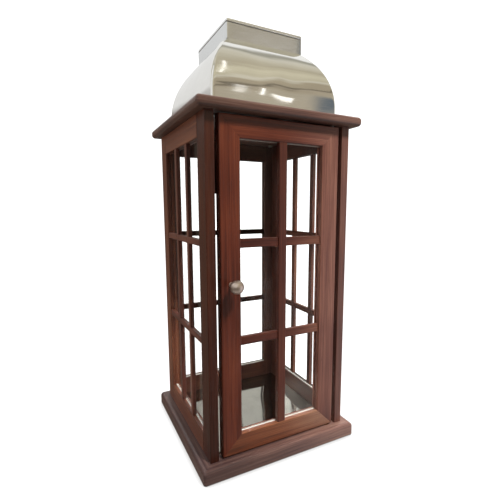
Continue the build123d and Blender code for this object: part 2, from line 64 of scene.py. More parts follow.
# Sheet steel: sizes of the roof and the chimney in metres, as in the CAD
SHEET_THICKNESS = 0.001
ROOF_ARC_RADIUS = 0.100
ROOF_FLANGE = 0.016
CHIMNEY_CORNER = 0.0015
CAP_PLUG_CLEARANCE = 0.0003
# The seam under the cap's rim, lower and deeper than the CAD's, and the heights where its painted shade and
# the rim's painted highlight end. It is deeper than the rim's rounding, so that the profile doesn't fold back
# on itself.
CAP_SEAM = 0.0003
CAP_SEAM_DEPTH = 0.0008
CAP_SEAM_SHADE_BELOW = 0.0007
CAP_RIM_EDGE = 0.0002
SATIN_ROUGHNESS = 0.24

# Meshes: points closer than this are one, and edges sharper than this stay sharp
MERGE_DISTANCE = 1e-7
SHARP_ANGLE = math.radians(35)
# Steps along a side and round a corner, and up the roof's wall and its arcs
ROOF_STEPS = (64, 10)
CHIMNEY_STEPS = (12, 5)
ROOF_WALL_STEPS = 8
ROOF_ARC_STEPS = 57
ROOF_INNER_ARC_STEPS = 29
FLOOR_SIDES = 96
FLOOR_RINGS = (0.0, 0.5, 1.5, 4.0)
# The putty under the door's top rail is thinner than the rest
HEAD_PUTTY = 0.4

# Woods: where each group's pattern is taken from, and its tint at the left and at the right. The tints are
# partly wood tone and partly painted light and shade: whole groups are made lighter or darker for how they
# are lit, and the right-hand tints, strong in green and blue, paint a pale sheen on the parts to the right.
WOODS = {
    "door": ((3.0, 7.0, 1.0), (1.0, 0.92, 0.90), (1.70, 2.90, 4.40)),
    "sill": ((5.0, 3.0, 2.0), (1.70, 2.35, 2.20), (2.20, 4.60, 6.40)),
    "bars": ((8.0, 1.0, 3.0), (0.76, 0.78, 0.90), (1.60, 2.60, 3.40)),
    "case": ((11.0, 2.0, 5.0), (0.44, 0.46, 0.46), (0.44, 0.46, 0.46)),
    "left": ((4.0, 6.0, 9.0), (1.20, 1.70, 1.90), (1.20, 1.70, 1.90)),
    "left bars": ((8.0, 1.0, 3.0), (1.05, 1.55, 2.20), (1.05, 1.55, 2.20)),
    "back": ((11.0, 2.0, 5.0), (0.52, 0.75, 0.95), (0.52, 0.75, 0.95)),
    "right": ((9.0, 5.0, 4.0), (1.45, 2.60, 4.00), (1.45, 2.60, 4.00)),
    "base": ((6.0, 9.0, 8.0), (0.90, 2.20, 4.00), (2.50, 6.00, 10.0)),
    "top": ((2.0, 4.0, 9.0), (0.80, 1.70, 2.75), (1.35, 2.90, 4.70)),
}
# Pieces whose wood, with its painted light and shade, differs from their panel's
ODD_WOODS = {"left_front_stile": "case", "right_front_stile": "right", "door_bottom_rail": "sill"}
# Each panel's wood, and the axis that its rails lie along
PANELS = {"left": ("left", "Y"), "right": ("back", "Y"), "back": ("back", "X"), "door": ("door", "X")}
# Where the tint of the frames and the door passes from left to right, along x in metres, so that their
# painted sheen grows towards the right
FRAME_SHEEN_FADE = (-0.02, 0.10)
RING_FIELD = 0.045

# Lamps: name, place, size, power and whether the lamp is mirrored
LAMPS = [
    ("key", (0.50, -1.55, 2.50), (0.4, 0.4), 84.0, False),
    ("overhead", (-0.2, 0.6, 2.9), (2.0, 2.0), 9.0, False),
    ("side", (1.85, 0.87, 1.75), (0.6, 0.6), 30.0, False),
    ("left", (-1.9, 0.10, 0.35), (0.8, 0.8), 16.0, False),
    ("back", (-0.7, 1.90, 1.50), (0.8, 0.8), 10.0, False),
    ("bounce", (0.25, -0.60, 0.03), (0.5, 0.25), 0.4, False),
    ("strip_1", (1.110, -2.620, 1.600), (0.05, 0.50), 0.05, True),
    ("strip_2", (1.300, -2.550, 1.570), (0.04, 0.50), 0.12, True),
    ("strip_3", (1.494, -2.540, 1.410), (0.12, 0.22), 0.09, True),
    ("strip_4", (0.963, -1.760, 2.800), (0.025, 1.10), 0.13, True),
]
LAMP_AIM = (0.0, 0.0, 0.3)

# The mirrored room. Edges are soft steps, given as where they start and end. Height, front and side are the
# parts of a direction along +Z, -Y and +X. A turn is the angle over the top from the front, in half turns.
CEILING_FOOT = (0.10, 0.20)
BACK_WALL_EDGE = (-0.2, 0.2)
BACK_WALL_RISE = 0.12
STEEP_BELOW = (-0.85, -0.50)
RIGHT_WAY = (0.84, 0.54, 0.0)
RIGHT_EDGE = (-0.02, 0.08)
RIGHT_FRONT_EDGE = (0.0, 0.3)
DOORWAY_SIDE = (0.556, 0.566)
DOORWAY_HEAD = (0.165, 0.20)
DOORWAY_FOOT = (0.20, 0.25)
BAND_WAVE = 0.02
BAND_SLANT = -0.5
BAND_LEVEL_SIDE = 0.47
BAND_SLANT_END = (0.25, 0.48)
SCATTERED_STRENGTH = 0.25
# The room's ceiling, by the angle in degrees from level in front over the top to level behind
CEILING = [
    (8, (0.50, 0.44, 0.34)),
    (22, (0.51, 0.46, 0.36)),
    (33, (0.44, 0.38, 0.28)),
    (36, (0.15, 0.13, 0.10)),
    (38, (0.43, 0.37, 0.27)),
    (45, (0.45, 0.39, 0.28)),
    (50, (0.72, 0.68, 0.56)),
    (54, (0.60, 0.55, 0.41)),
    (62, (0.69, 0.64, 0.48)),
    (70, (0.52, 0.47, 0.35)),
    (80, (0.66, 0.62, 0.50)),
    (88, (0.70, 0.67, 0.57)),
    (94, (0.38, 0.37, 0.31)),
    (98, (0.44, 0.43, 0.37)),
    (101, (1.0, 1.0, 0.98)),
    (118, (1.0, 1.0, 0.98)),
    (150, (0.84, 0.84, 0.83)),
    (180, (0.84, 0.84, 0.83)),
]


def colour(name, description, default):
    """A colour that the panel shows."""
    return FloatVectorProperty(
        name=name, description=description, default=default, subtype="COLOR", size=3, min=0.0, soft_max=1.0
    )


def length(name, description, default):
    """A length in metres."""
    return FloatProperty(name=name, description=description, default=default, unit="LENGTH", precision=5)


def share(name, description, default):
    """A share from 0 to 1."""
    return FloatProperty(
        name=name, description=description, default=default, subtype="FACTOR", min=0.0, max=1.0
    )


class LanternWood(PropertyGroup):
    """Stain and grain of the wooden pieces."""

    dark: colour("Dark grain", "Stain in the late wood", (0.042, 0.010, 0.006))
    middle: colour("Middle grain", "Stain between the streaks", (0.112, 0.0245, 0.0115))
    light: colour("Light grain", "Stain on the pale streaks", (0.205, 0.055, 0.025))
    streak_width: length("Streak width", "Width of the fine streaks across the grain", 0.0016)
    streak_length: length("Streak length", "Length of the fine streaks along the grain", 0.11)
    ring_width: length("Ring width", "Spacing of the growth rings across the grain", 0.0055)
    pore_width: length("Pore width", "Width of the open pores", 0.00045)
    pore_length: length("Pore length", "Length of the open pores along the grain", 0.016)
    varnish_roughness: share("Varnish roughness", "Roughness of the satin varnish", 0.33)
    edge_radius: length("Eased edge", "How far the varnish softens the edges", 0.0008)


class LanternSteel(PropertyGroup):
    """Sheet steel of the roof, chimney and floor plate, and the fittings."""

    polished: colour("Polished steel", "Colour of the roof", (0.80, 0.79, 0.765))
    satin: colour("Satin steel", "Colour of the chimney and its cap", (0.75, 0.76, 0.765))
    nickel: colour("Nickel", "Colour of the knob", (0.75, 0.63, 0.56))
    hip_radius: length("Hip radius", "Rounding of the roof where two sides meet", 0.004)
    wave_height: length("Wave height", "How far the roof's sheet waves in and out", 0.00016)
    edge_radius: length("Edge radius", "Rounding of the chimney's folded edges", 0.0006)


class LanternGlazing(PropertyGroup):
    """Glass and the putty that beds it."""

    tint: colour("Glass tint", "Colour of the glass", (0.985, 0.995, 0.99))
    # The putty's pale colour is also a painted highlight, the glint along the glass's foot and the door's
    # head
    putty: colour("Putty", "Colour of the bedding putty", (0.80, 0.78, 0.72))
    putty_width: length("Putty width", "Size of the fillet of putty along a sheet's edge", 0.0011)
    refraction: FloatProperty(name="Refraction", description="Index of refraction of the glass", default=1.2)
    shadow_light: share("Light in shadows", "Share of a lamp's light that the glass lets through", 0.92)


class LanternStudio(PropertyGroup):
    """Camera, light and floor."""

    camera_place: FloatVectorProperty(
        name="Camera place",
        description="Where the camera stands",
        default=(-0.2616, -0.5489, 0.3597),
        subtype="XYZ",
        unit="LENGTH",
        size=3,
    )
    camera_turn: FloatVectorProperty(
        name="Camera turn",
        description="Yaw to the right of +Y, pitch above level and roll",
        default=(0.493, -0.134, 0.002),
        unit="ROTATION",
        size=3,
    )
    focal_pixels: FloatProperty(
        name="Focal length", description="In pixels of the square image", default=373.5
    )
    image_centre: FloatVectorProperty(
        name="Image centre",
        description="Where the lens axis meets the image, in pixels from its top left",
        default=(266.5, 258.4),
        size=2,
    )
    room_low: colour("Room near level", "Mirrored from near level and below", (0.14, 0.115, 0.09))
    room_floor: colour("Room floor", "Mirrored colour straight below", (0.42, 0.40, 0.37))
    room_right: colour(
        "Room to the right", "Mirrored from the right of the front, near level", (0.92, 0.91, 0.94)
    )
    room_door: colour("Dark doorway", "Mirrored from the right of the front", (0.15, 0.175, 0.20))
    floor_radius: length("Floor radius", "Radius of the pale floor", 9.0)
    floor_shadow: colour("Floor shadow", "Colour of the floor right under the lantern", (0.22, 0.21, 0.20))
    shadow_reach: length("Shadow reach", "How far the soft shadow spreads on the floor", 0.07)


class Graph:
    """Short ways to add and join the nodes of a material or a world."""

    def __init__(self, tree):
        self.tree = tree

    def node(self, kind, **settings):
        """A new node with its settings."""
        new = self.tree.nodes.new(kind)
        for key, value in settings.items():
            setattr(new, key, value)
        return new

    def feed(self, socket, source):
        """Join a socket to another, or set its value."""
        if isinstance(source, bpy.types.NodeSocket):
            self.tree.links.new(source, socket)
        else:
            socket.default_value = source

    def math(self, operation, first, second=0.0):
        """Arithmetic on two values."""
        sums = self.node("ShaderNodeMath", operation=operation)
        self.feed(sums.inputs[0], first)
        self.feed(sums.inputs[1], second)
        return sums.outputs["Value"]

    def towards(self, way, aim):
        """How far a direction points along another, from -1 to 1."""
        product = self.node("ShaderNodeVectorMath", operation="DOT_PRODUCT")
        self.feed(product.inputs[0], way)
        self.feed(product.inputs[1], Vector(aim).normalized())
        return product.outputs["Value"]

    def parts(self, vector):
        """The x, y and z of a vector."""
        parts = self.node("ShaderNodeSeparateXYZ")
        self.feed(parts.inputs[0], vector)
        return parts.outputs

    def weighted(self, *terms):
        """The sum of (value, weight) terms."""
        products = [self.math("MULTIPLY", value, weight) for value, weight in terms]
        return functools.reduce(lambda first, second: self.math("ADD", first, second), products)

    def product(self, *factors):
        """Values multiplied together."""
        return functools.reduce(lambda first, second: self.math("MULTIPLY", first, second), factors)

    def between(self, value, low, high):
        """1 where a value lies between two others, and 0 elsewhere."""
        return self.product(self.math("GREATER_THAN", value, low), self.math("LESS_THAN", value, high))

    def noise_at(self, place, scale, detail, roughness=0.5, offset=(0.0, 0.0, 0.0)):
        """Noise from 0 to 1 at a place or direction that is scaled along x, y and z."""
        mapping = self.node("ShaderNodeMapping")
        self.feed(mapping.inputs["Vector"], place)
        mapping.inputs["Scale"].default_value = scale
        mapping.inputs["Location"].default_value = offset
        texture = self.node("ShaderNodeTexNoise")
        self.feed(texture.inputs["Vector"], mapping.outputs["Vector"])
        texture.inputs["Scale"].default_value = 1.0
        texture.inputs["Detail"].default_value = detail
        texture.inputs["Roughness"].default_value = roughness
        return texture.outputs["Fac"]

    def span(self, value, low, high, to_low=0.0, to_high=1.0):
        """A value mapped smoothly from one range to another and kept inside it."""
        mapped = self.node("ShaderNodeMapRange", interpolation_type="SMOOTHSTEP")
        self.feed(mapped.inputs["Value"], value)
        mapped.inputs["From Min"].default_value = low
        mapped.inputs["From Max"].default_value = high
        mapped.inputs["To Min"].default_value = to_low
        mapped.inputs["To Max"].default_value = to_high
        return mapped.outputs["Result"]

    def ramp(self, value, stops):
        """Colours along a value, from (position, colour) stops."""
        mapped = self.node("ShaderNodeValToRGB")
        self.feed(mapped.inputs["Fac"], value)
        elements = mapped.color_ramp.elements
        for _ in stops[2:]:
            elements.new(0.5)
        for element, (position, shade) in zip(elements, stops):
            element.position = position
            element.color = (*shade, 1.0)
        return mapped.outputs["Color"]

    def mix(self, factor, first, second, blend_type="MIX"):
        """Two colours mixed by a factor."""
        mixed = self.node("ShaderNodeMix", data_type="RGBA", blend_type=blend_type)
        self.feed(mixed.inputs[0], factor)
        for socket, source in ((mixed.inputs[6], first), (mixed.inputs[7], second)):
            self.feed(socket, source if isinstance(source, bpy.types.NodeSocket) else (*source, 1.0))
        return mixed.outputs[2]

    def blend(self, factor, first, second):
        """Two shaders mixed by a factor."""
        mixed = self.node("ShaderNodeMixShader")
        self.feed(mixed.inputs[0], factor)
        self.feed(mixed.inputs[1], first.outputs[0])
        self.feed(mixed.inputs[2], second.outputs[0])
        return mixed

    def paper(self):
        """How bright the white round the lantern is, with more behind glass for what the glass takes away."""
        through = self.node("ShaderNodeLightPath").outputs["Is Transmission Ray"]
        return self.span(through, 0.0, 1.0, PAPER_STRENGTH, PAPER_THROUGH_GLASS)

    def seen_through(self):
        """1 for what the camera sees by itself or through glass, and 0 for mirrored and scattered light."""
        path = self.node("ShaderNodeLightPath")
        bounces = self.math("ADD", path.outputs["Diffuse Depth"], path.outputs["Glossy Depth"])
        straight = self.math("LESS_THAN", bounces, 0.5)
        through = self.math("MULTIPLY", path.outputs["Is Transmission Ray"], straight)
        return self.math("MAXIMUM", path.outputs["Is Camera Ray"], through)


class Finish(Graph):
    """A material. Its patterns read Object coordinates in metres."""

    def __init__(self, name):
        self.material = bpy.data.materials.new(name)
        self.material.use_nodes = True
        super().__init__(self.material.node_tree)
        self.shader = self.tree.nodes["Principled BSDF"]
        self.surface = self.tree.nodes["Material Output"].inputs["Surface"]
        self.place = self.node("ShaderNodeTexCoord").outputs["Object"]

    def set(self, **values):
        """Set or join the shader's sockets, named with underscores for spaces."""
        for key, value in values.items():
            self.feed(self.shader.inputs[key.replace("_", " ")], value)

    def mitre(self):
        """Swap x and y in the left and right quarters, so that a pattern runs along all four sides."""
        x, y, z = self.parts(self.place)
        swapped = self.node("ShaderNodeCombineXYZ")
        for socket, part in zip(swapped.inputs, (y, x, z)):
            self.feed(socket, part)
        sideways = self.math("GREATER_THAN", self.math("ABSOLUTE", x), self.math("ABSOLUTE", y))
        chosen = self.node("ShaderNodeMix", data_type="VECTOR")
        self.feed(chosen.inputs[0], sideways)
        self.feed(chosen.inputs[4], self.place)
        self.feed(chosen.inputs[5], swapped.outputs[0])
        self.place = chosen.outputs[1]

    def noise(self, pitch, detail=2.0, roughness=0.5, offset=(0.0, 0.0, 0.0)):
        """Noise from 0 to 1 whose features are pitch metres long along x, y and z."""
        return self.noise_at(self.place, [1 / step for step in pitch], detail, roughness, offset)

    def relief(self, height, depth, strength=1.0, edge_radius=0.0):
        """Bump of the given depth in metres, over edges softened by a radius."""
        bump = self.node("ShaderNodeBump")
        self.feed(bump.inputs["Height"], height)
        bump.inputs["Distance"].default_value = depth
        bump.inputs["Strength"].default_value = strength
        if edge_radius:
            soft = self.node("ShaderNodeBevel", samples=4)
            soft.inputs["Radius"].default_value = edge_radius
            self.feed(bump.inputs["Normal"], soft.outputs["Normal"])
        self.feed(self.shader.inputs["Normal"], bump.outputs["Normal"])


def shaded(shade, factor):
    """A colour made darker or brighter."""
    return [min(1.0, part * factor) for part in shade]


def along_grain(axis, across, along):
    """Pitch along x, y and z for a pattern drawn out along one axis."""
    return [along if name == axis else across for name in "XYZ"]


def stained_wood(group, axis, wood, sheen_fade=FRAME_SHEEN_FADE, mitred=False):
    """Straight-grained wood of one of the WOODS: growth rings, fine streaks and open pores drawn out along
    the grain, under a red-brown stain and a satin varnish. Its two tints, partly wood tone and partly painted
    light and shade, pass into each other between the two places along x that it is given, so that a painted
    sheen grows towards the right."""
    offset, left_tint_and_light, right_tint_and_sheen = WOODS[group]
    finish = Finish(f"{group} wood {axis}")
    # The tint passes from left to right along x: wood tone with painted light and shade, and a painted sheen
    # towards the right
    tint = finish.mix(finish.span(finish.parts(finish.place)["X"], *sheen_fade), left_tint_and_light, right_tint_and_sheen)
    if mitred:
        finish.mitre()
    field = finish.noise(along_grain(axis, RING_FIELD, 1.4), detail=1.0, offset=offset)
    rings = finish.math("PINGPONG", finish.math("MULTIPLY", field, RING_FIELD / wood.ring_width), 0.5)
    rings = finish.math("MULTIPLY", rings, 2.0)
    streaks = finish.noise(
        along_grain(axis, wood.streak_width, wood.streak_length), detail=4.0, roughness=0.62, offset=offset
    )
    pores = finish.noise(along_grain(axis, wood.pore_width, wood.pore_length), detail=1.0, offset=offset)
    pores = finish.span(pores, 0.60, 0.72)
    patches = finish.noise((0.16, 0.16, 0.16), detail=2.0, offset=offset)

    shade = finish.weighted(
        (finish.span(streaks, 0.25, 0.75), 0.44), (rings, 0.18), (finish.span(patches, 0.25, 0.75), 0.34)
    )
    stain = finish.ramp(shade, [(0.12, wood.dark), (0.50, wood.middle), (0.90, wood.light)])
    stain = finish.mix(1.0, stain, tint, "MULTIPLY")
    stain = finish.mix(finish.math("MULTIPLY", pores, 0.35), stain, shaded(wood.dark, 0.5))

    rough = finish.span(streaks, 0.25, 0.75, wood.varnish_roughness - 0.06, wood.varnish_roughness + 0.08)
    finish.set(Base_Color=stain, Roughness=rough)
    finish.relief(finish.weighted((streaks, 0.5), (pores, -1.0)), 0.00012, 0.55, wood.edge_radius)
    return finish.material


def bare_dowel():
    """Unstained dowel: pale streaks along the pin."""
    finish = Finish("bare dowel")
    streaks = finish.noise(along_grain("Z", 0.0008, 0.02), detail=3.0)
    finish.set(Base_Color=finish.ramp(streaks, [(0.3, (0.45, 0.28, 0.14)), (0.7, (0.68, 0.50, 0.30))]))
    finish.set(Roughness=0.65)
    finish.relief(streaks, 0.0001)
    return finish.material


def polished_steel(steel):
    """Polished sheet: a clear mirror with faint clouding and polishing marks."""
    finish = Finish("polished steel")
    clouds = finish.noise((0.05, 0.05, 0.03), detail=3.0)
    marks = finish.noise((0.03, 0.03, 0.0006), detail=2.0)
    cloudy = finish.weighted((clouds, 0.6), (marks, 0.4))
    shade = steel.polished
    finish.set(Base_Color=finish.ramp(cloudy, [(0.3, shaded(shade, 0.94)), (0.7, shaded(shade, 1.06))]))
    finish.set(Metallic=1.0, Roughness=finish.span(cloudy, 0.3, 0.7, 0.035, 0.09))
    finish.relief(marks, 0.000004)
    return finish.material


def satin_steel(shade, roughness, shade_foot, rim_foot, highlight_top):
    """Satin sheet: a fine grain brushed level round the chimney, with faint smears. By height, it has painted
    shade in the seam and a painted highlight on the rim above it."""
    finish = Finish("satin steel")
    brushing = finish.noise((0.06, 0.06, 0.00025), detail=3.0, roughness=0.7)
    smears = finish.noise((0.03, 0.03, 0.03), detail=2.0)
    tone = finish.weighted((brushing, 0.6), (smears, 0.4))
    sheet = finish.ramp(tone, [(0.25, shaded(shade, 0.93)), (0.75, shaded(shade, 1.05))])
    level = finish.parts(finish.place)["Z"]
    # Painted shade in the seam below the rim, then a painted highlight on the rim's side
    for foot, top, factor in ((shade_foot, rim_foot, 0.22), (rim_foot, highlight_top, 1.22)):
        sheet = finish.mix(finish.between(level, foot, top), sheet, shaded(shade, factor))
    finish.set(Base_Color=sheet)
    finish.set(Metallic=1.0, Roughness=finish.span(tone, 0.25, 0.75, roughness - 0.03, roughness + 0.03))
    finish.relief(brushing, 0.00002)
    return finish.material


def rolled_sheet(shade):
    """Bright rolled sheet, slightly bowed, with faint rolling lines and scuffs."""
    finish = Finish("floor steel")
    bows = finish.noise((0.16, 0.11, 0.16), detail=0.0, offset=(0.4, 0.3, 0.0))
    lines = finish.noise((0.08, 0.0005, 0.02), detail=2.0)
    scuffs = finish.noise((0.03, 0.03, 0.03), detail=4.0)
    finish.set(Base_Color=finish.ramp(scuffs, [(0.3, shaded(shade, 0.88)), (0.7, shade)]))
    finish.set(Metallic=1.0, Roughness=finish.span(scuffs, 0.3, 0.7, 0.04, 0.10))
    finish.relief(finish.weighted((bows, 1.0), (lines, 0.0005)), 0.007)
    return finish.material


def metal_fitting(name, shade, roughness):
    """Plated fitting: even metal with small speckle and handling marks."""
    finish = Finish(name)
    speckle = finish.noise((0.0006, 0.0006, 0.0006), detail=2.0)
    marks = finish.noise((0.005, 0.005, 0.005), detail=3.0)
    finish.set(Base_Color=finish.ramp(marks, [(0.3, shaded(shade, 0.85)), (0.7, shade)]))
    finish.set(Metallic=1.0, Roughness=finish.span(marks, 0.3, 0.7, roughness - 0.05, roughness + 0.08))
    finish.relief(speckle, 0.00001)
    return finish.material


def moulded(name, shade, roughness):
    """Moulded or pressed dark piece with a fine grained surface."""
    finish = Finish(name)
    grain = finish.noise((0.0005, 0.0005, 0.0005), detail=2.0)
    finish.set(Base_Color=finish.ramp(grain, [(0.3, shaded(shade, 0.8)), (0.7, shade)]))
    finish.set(Roughness=finish.span(grain, 0.3, 0.7, roughness - 0.05, roughness + 0.08))
    finish.relief(grain, 0.00003)
    return finish.material


def window_glass(glazing):
    """Clear sheet glass, faintly smeared. Shadow rays pass straight through it, so that it lights what it
    shuts in."""
    finish = Finish("window glass")
    smears = finish.noise((0.05, 0.05, 0.09), detail=3.0)
    finish.set(Base_Color=finish.ramp(smears, [(0.4, glazing.tint), (0.8, shaded(glazing.tint, 0.985))]))
    finish.set(Roughness=0.0, Transmission_Weight=1.0, IOR=glazing.refraction)
    clear = finish.node("ShaderNodeBsdfTransparent")
    clear.inputs["Color"].default_value = (*[glazing.shadow_light] * 3, 1.0)
    path = finish.node("ShaderNodeLightPath")
    finish.feed(finish.surface, finish.blend(path.outputs["Is Shadow Ray"], finish.shader, clear).outputs[0])
    return finish.material


def glazing_putty(glazing):
    """Pale putty, slightly uneven. It is real bedding, and its paleness is also a painted highlight: the
    glint along the glass's foot and the door's head.
    """
    finish = Finish("glazing putty")
    grain = finish.noise((0.004, 0.004, 0.004), detail=3.0)
    shade = finish.ramp(grain, [(0.3, shaded(glazing.putty, 0.82)), (0.7, glazing.putty)])
    finish.set(Base_Color=shade, Roughness=0.45)
    finish.relief(grain, 0.0001)
    return finish.material


def dress(material, *names):
    """Give CAD nodes their finish."""
    for name in names:
        for slot in nodes[name].material_slots:
            slot.material = material


def new_piece(name, points, material, body, close_rings=True):
    """Mesh from one or more grids of points: rows by columns by xyz, with the grids along a first axis.
    Columns close on themselves; rows do too when close_rings is set. Points that fall together are merged,
    so that a row at a point becomes a pole."""
    rows, columns = points.shape[-3:-1]
    index = np.arange(points.size // 3).reshape(-1, rows, columns)
    upper = np.roll(index, -1, axis=1)
    if not close_rings:
        index, upper = index[:, :-1], upper[:, :-1]
    after = np.roll(index, -1, axis=2)
    upper_after = np.roll(upper, -1, axis=2)
    faces = np.stack([index, after, upper_after, upper], axis=-1).reshape(-1, 4)
    mesh = bpy.data.meshes.new(name)
    mesh.from_pydata(points.reshape(-1, 3), [], faces)
    tidy = bmesh.new()
    tidy.from_mesh(mesh)
    bmesh.ops.remove_doubles(tidy, verts=tidy.verts, dist=MERGE_DISTANCE)
    bmesh.ops.dissolve_degenerate(tidy, edges=tidy.edges, dist=MERGE_DISTANCE)
    bmesh.ops.recalc_face_normals(tidy, faces=tidy.faces)
    tidy.to_mesh(mesh)
    tidy.free()
    mesh.shade_smooth()
    mesh.set_sharp_from_angle(angle=SHARP_ANGLE)
    mesh.materials.append(material)
    piece = bpy.data.objects.new(name, mesh)
    bpy.context.scene.collection.objects.link(piece)
    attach(piece, body)
    return piece


def rounded_square(side_steps, corner_steps):
    """Directions round a rounded square, starting on its right side. A point at half-width h and corner
    radius r is (h - r) * corner + r * outward, where corner runs along the sides of a unit square and
    waits at its corners while outward turns."""
    run = np.linspace(-1.0, 1.0, side_steps, endpoint=False)
    turn = np.linspace(0.0, math.pi / 2, corner_steps, endpoint=False)
    corner = np.concatenate([
        np.stack([np.ones(side_steps), run], axis=1),
        np.ones((corner_steps, 2)),
    ])
    outward = np.concatenate([
        np.tile([1.0, 0.0], (side_steps, 1)),
        np.stack([np.cos(turn), np.sin(turn)], axis=1),
    ])
    quarter = np.array([[0.0, 1.0], [-1.0, 0.0]])
    spins = [np.linalg.matrix_power(quarter, step) for step in range(4)]
    return np.concatenate([corner @ s for s in spins]), np.concatenate([outward @ s for s in spins])


def carried_round(profile, half_width, radius, side_steps, corner_steps, waves=None):
    """A profile of (inset, height) rows carried round a rounded square. Insets count inwards from the
    half-width; waves adds to the inset of each grid point."""
    corner, outward = rounded_square(side_steps, corner_steps)
    inset = np.asarray(profile)[:, :1]
    height = np.asarray(profile)[:, 1:]
    rounding = np.minimum(radius, half_width - inset)
    grid = (half_width - inset - rounding)[..., None] * corner + rounding[..., None] * outward
    if waves is not None:
        grid = grid - waves[..., None] * outward
    return np.concatenate([grid, np.repeat(height[..., None], len(corner), axis=1)], axis=2)


def capped(grids):
    """Grids of tubes with their two ends drawn in to points, so that they close."""
    first = np.broadcast_to(grids[:, :1].mean(axis=2, keepdims=True), grids[:, :1].shape)
    last = np.broadcast_to(grids[:, -1:].mean(axis=2, keepdims=True), grids[:, -1:].shape)
    return np.concatenate([first, grids, last], axis=1)


def arc(centre, radius, start, end, steps):
    """Points on an arc of the profile plane, angles in degrees from +inset towards +height."""
    angle = np.radians(np.linspace(start, end, steps))
    return np.stack([centre[0] + radius * np.cos(angle), centre[1] + radius * np.sin(angle)], axis=1)


class LANTERN_OT_roof(Operator):
    """Roof sheet: upright at its foot, then an arc up to the chimney, with an inward flange below"""

    bl_idname = "lantern.roof"
    bl_label = "Roof"

    def execute(self, context):
        steel = context.scene.lantern_steel
        low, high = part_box("roof_shell")
        _, chimney_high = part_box("chimney")
        sheet = SHEET_THICKNESS
        half_width = high.x
        run = half_width - chimney_high.x
        radius = ROOF_ARC_RADIUS
        rise = math.sqrt(radius**2 - (radius - run) ** 2)
        shoulder = high.z - rise
        reach = math.degrees(math.asin(rise / radius))
        inner = radius - sheet
        inner_reach = math.degrees(math.asin(rise / inner))
        wall = np.linspace(low.z, shoulder, ROOF_WALL_STEPS, endpoint=False)
        profile = np.concatenate([
            np.stack([np.zeros(ROOF_WALL_STEPS), wall], axis=1),
            arc((radius, shoulder), radius, 180, 180 - reach, ROOF_ARC_STEPS),
            arc((radius, shoulder), inner, 180 - inner_reach, 180, ROOF_INNER_ARC_STEPS),
            [[sheet, low.z + sheet], [ROOF_FLANGE, low.z + sheet], [ROOF_FLANGE, low.z]],
        ])
        corner, _ = rounded_square(*ROOF_STEPS)
        along = np.arctan2(corner[:, 1], corner[:, 0])[None, :]
        up = (profile[:, 1:] - low.z) / (high.z - low.z)
        swell = np.sin(math.pi * np.clip(up, 0.0, 1.0))
        waves = steel.wave_height * swell * (
            np.sin(5.0 * along + 3.1 * up) + 0.6 * np.sin(11.0 * along - 5.3 * up + 0.7)
            + 0.5 * np.sin(7.7 * up + 2.0 * np.cos(3.0 * along))
        )
        points = carried_round(profile, half_width, steel.hip_radius, *ROOF_STEPS, waves)
        roof = new_piece("roof", points, polished_steel(steel), "case")
        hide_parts("roof_shell")
        return {"FINISHED"}


class LANTERN_OT_chimney(Operator):
    """Chimney tube and its cap, with folded edges and a seam between them"""

    bl_idname = "lantern.chimney"
    bl_label = "Chimney"

    def execute(self, context):
        steel = context.scene.lantern_steel
        low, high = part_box("chimney")
        cap_low, cap_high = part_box("chimney_cap")
        sheet = SHEET_THICKNESS
        edge = steel.edge_radius
        rim_foot = high.z + CAP_SEAM
        # Where the painted shade in the seam starts, below the cap's rim
        seam_shade_foot = high.z - CAP_SEAM_SHADE_BELOW
        satin = satin_steel(steel.satin, SATIN_ROUGHNESS, seam_shade_foot, rim_foot, cap_high.z - CAP_RIM_EDGE)
        profile = np.concatenate([
            [[0.0, low.z], [0.0, high.z - 3 * edge]],
            arc((edge, high.z - edge), edge, 180, 90, 4),
            [[sheet, high.z], [sheet, low.z]],
        ])
        points = carried_round(profile, high.x, CHIMNEY_CORNER, *CHIMNEY_STEPS)
        tube = new_piece("chimney_tube", points, satin, "case")
        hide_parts("chimney")

        plug = sheet + CAP_PLUG_CLEARANCE
        lid = cap_high.z - sheet
        profile = np.concatenate([
            [[high.x, cap_high.z], [3 * edge, cap_high.z]],
            arc((edge, cap_high.z - edge), edge, 90, 180, 4),
            arc((edge, rim_foot + edge), edge, 180, 270, 4),
            [[CAP_SEAM_DEPTH, rim_foot], [CAP_SEAM_DEPTH, high.z], [plug, high.z], [plug, cap_low.z]],
            [[plug + sheet, cap_low.z], [plug + sheet, lid], [high.x, lid]],
        ])
        points = carried_round(profile, high.x, CHIMNEY_CORNER, *CHIMNEY_STEPS)
        cap = new_piece("chimney_lid", points, satin, "case", close_rings=False)
        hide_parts("chimney_cap")
        return {"FINISHED"}


class LANTERN_OT_woodwork(Operator):
    """Stained wood on the boards, the frames, the door and their beads"""

    bl_idname = "lantern.woodwork"
    bl_label = "Woodwork"

    def execute(self, context):
        wood = context.scene.lantern_wood
        made = {}

        def wood_for(group, axis):
            """The finish for a group of pieces, made once for each grain direction."""
            if (group, axis) not in made:
                made[group, axis] = stained_wood(group, axis, wood)
            return made[group, axis]

        for name in nodes:
            panel = name.split("_")[0]
            if panel not in PANELS or name.endswith("glass"):
                continue
            group, across = PANELS[panel]
            if "upright" in name or "crossbar" in name:
                group = "left bars" if panel == "left" else "bars"
            lies_down = "rail" in name or "crossbar" in name
            dress(wood_for(ODD_WOODS.get(name, group), across if lies_down else "Z"), name)
        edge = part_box("base_board")[1].x
        for board in ("base", "top"):
            dress(stained_wood(board, "X", wood, (-edge, edge), mitred=True), f"{board}_board")
        dress(bare_dowel(), "top_dowels")
        return {"FINISHED"}


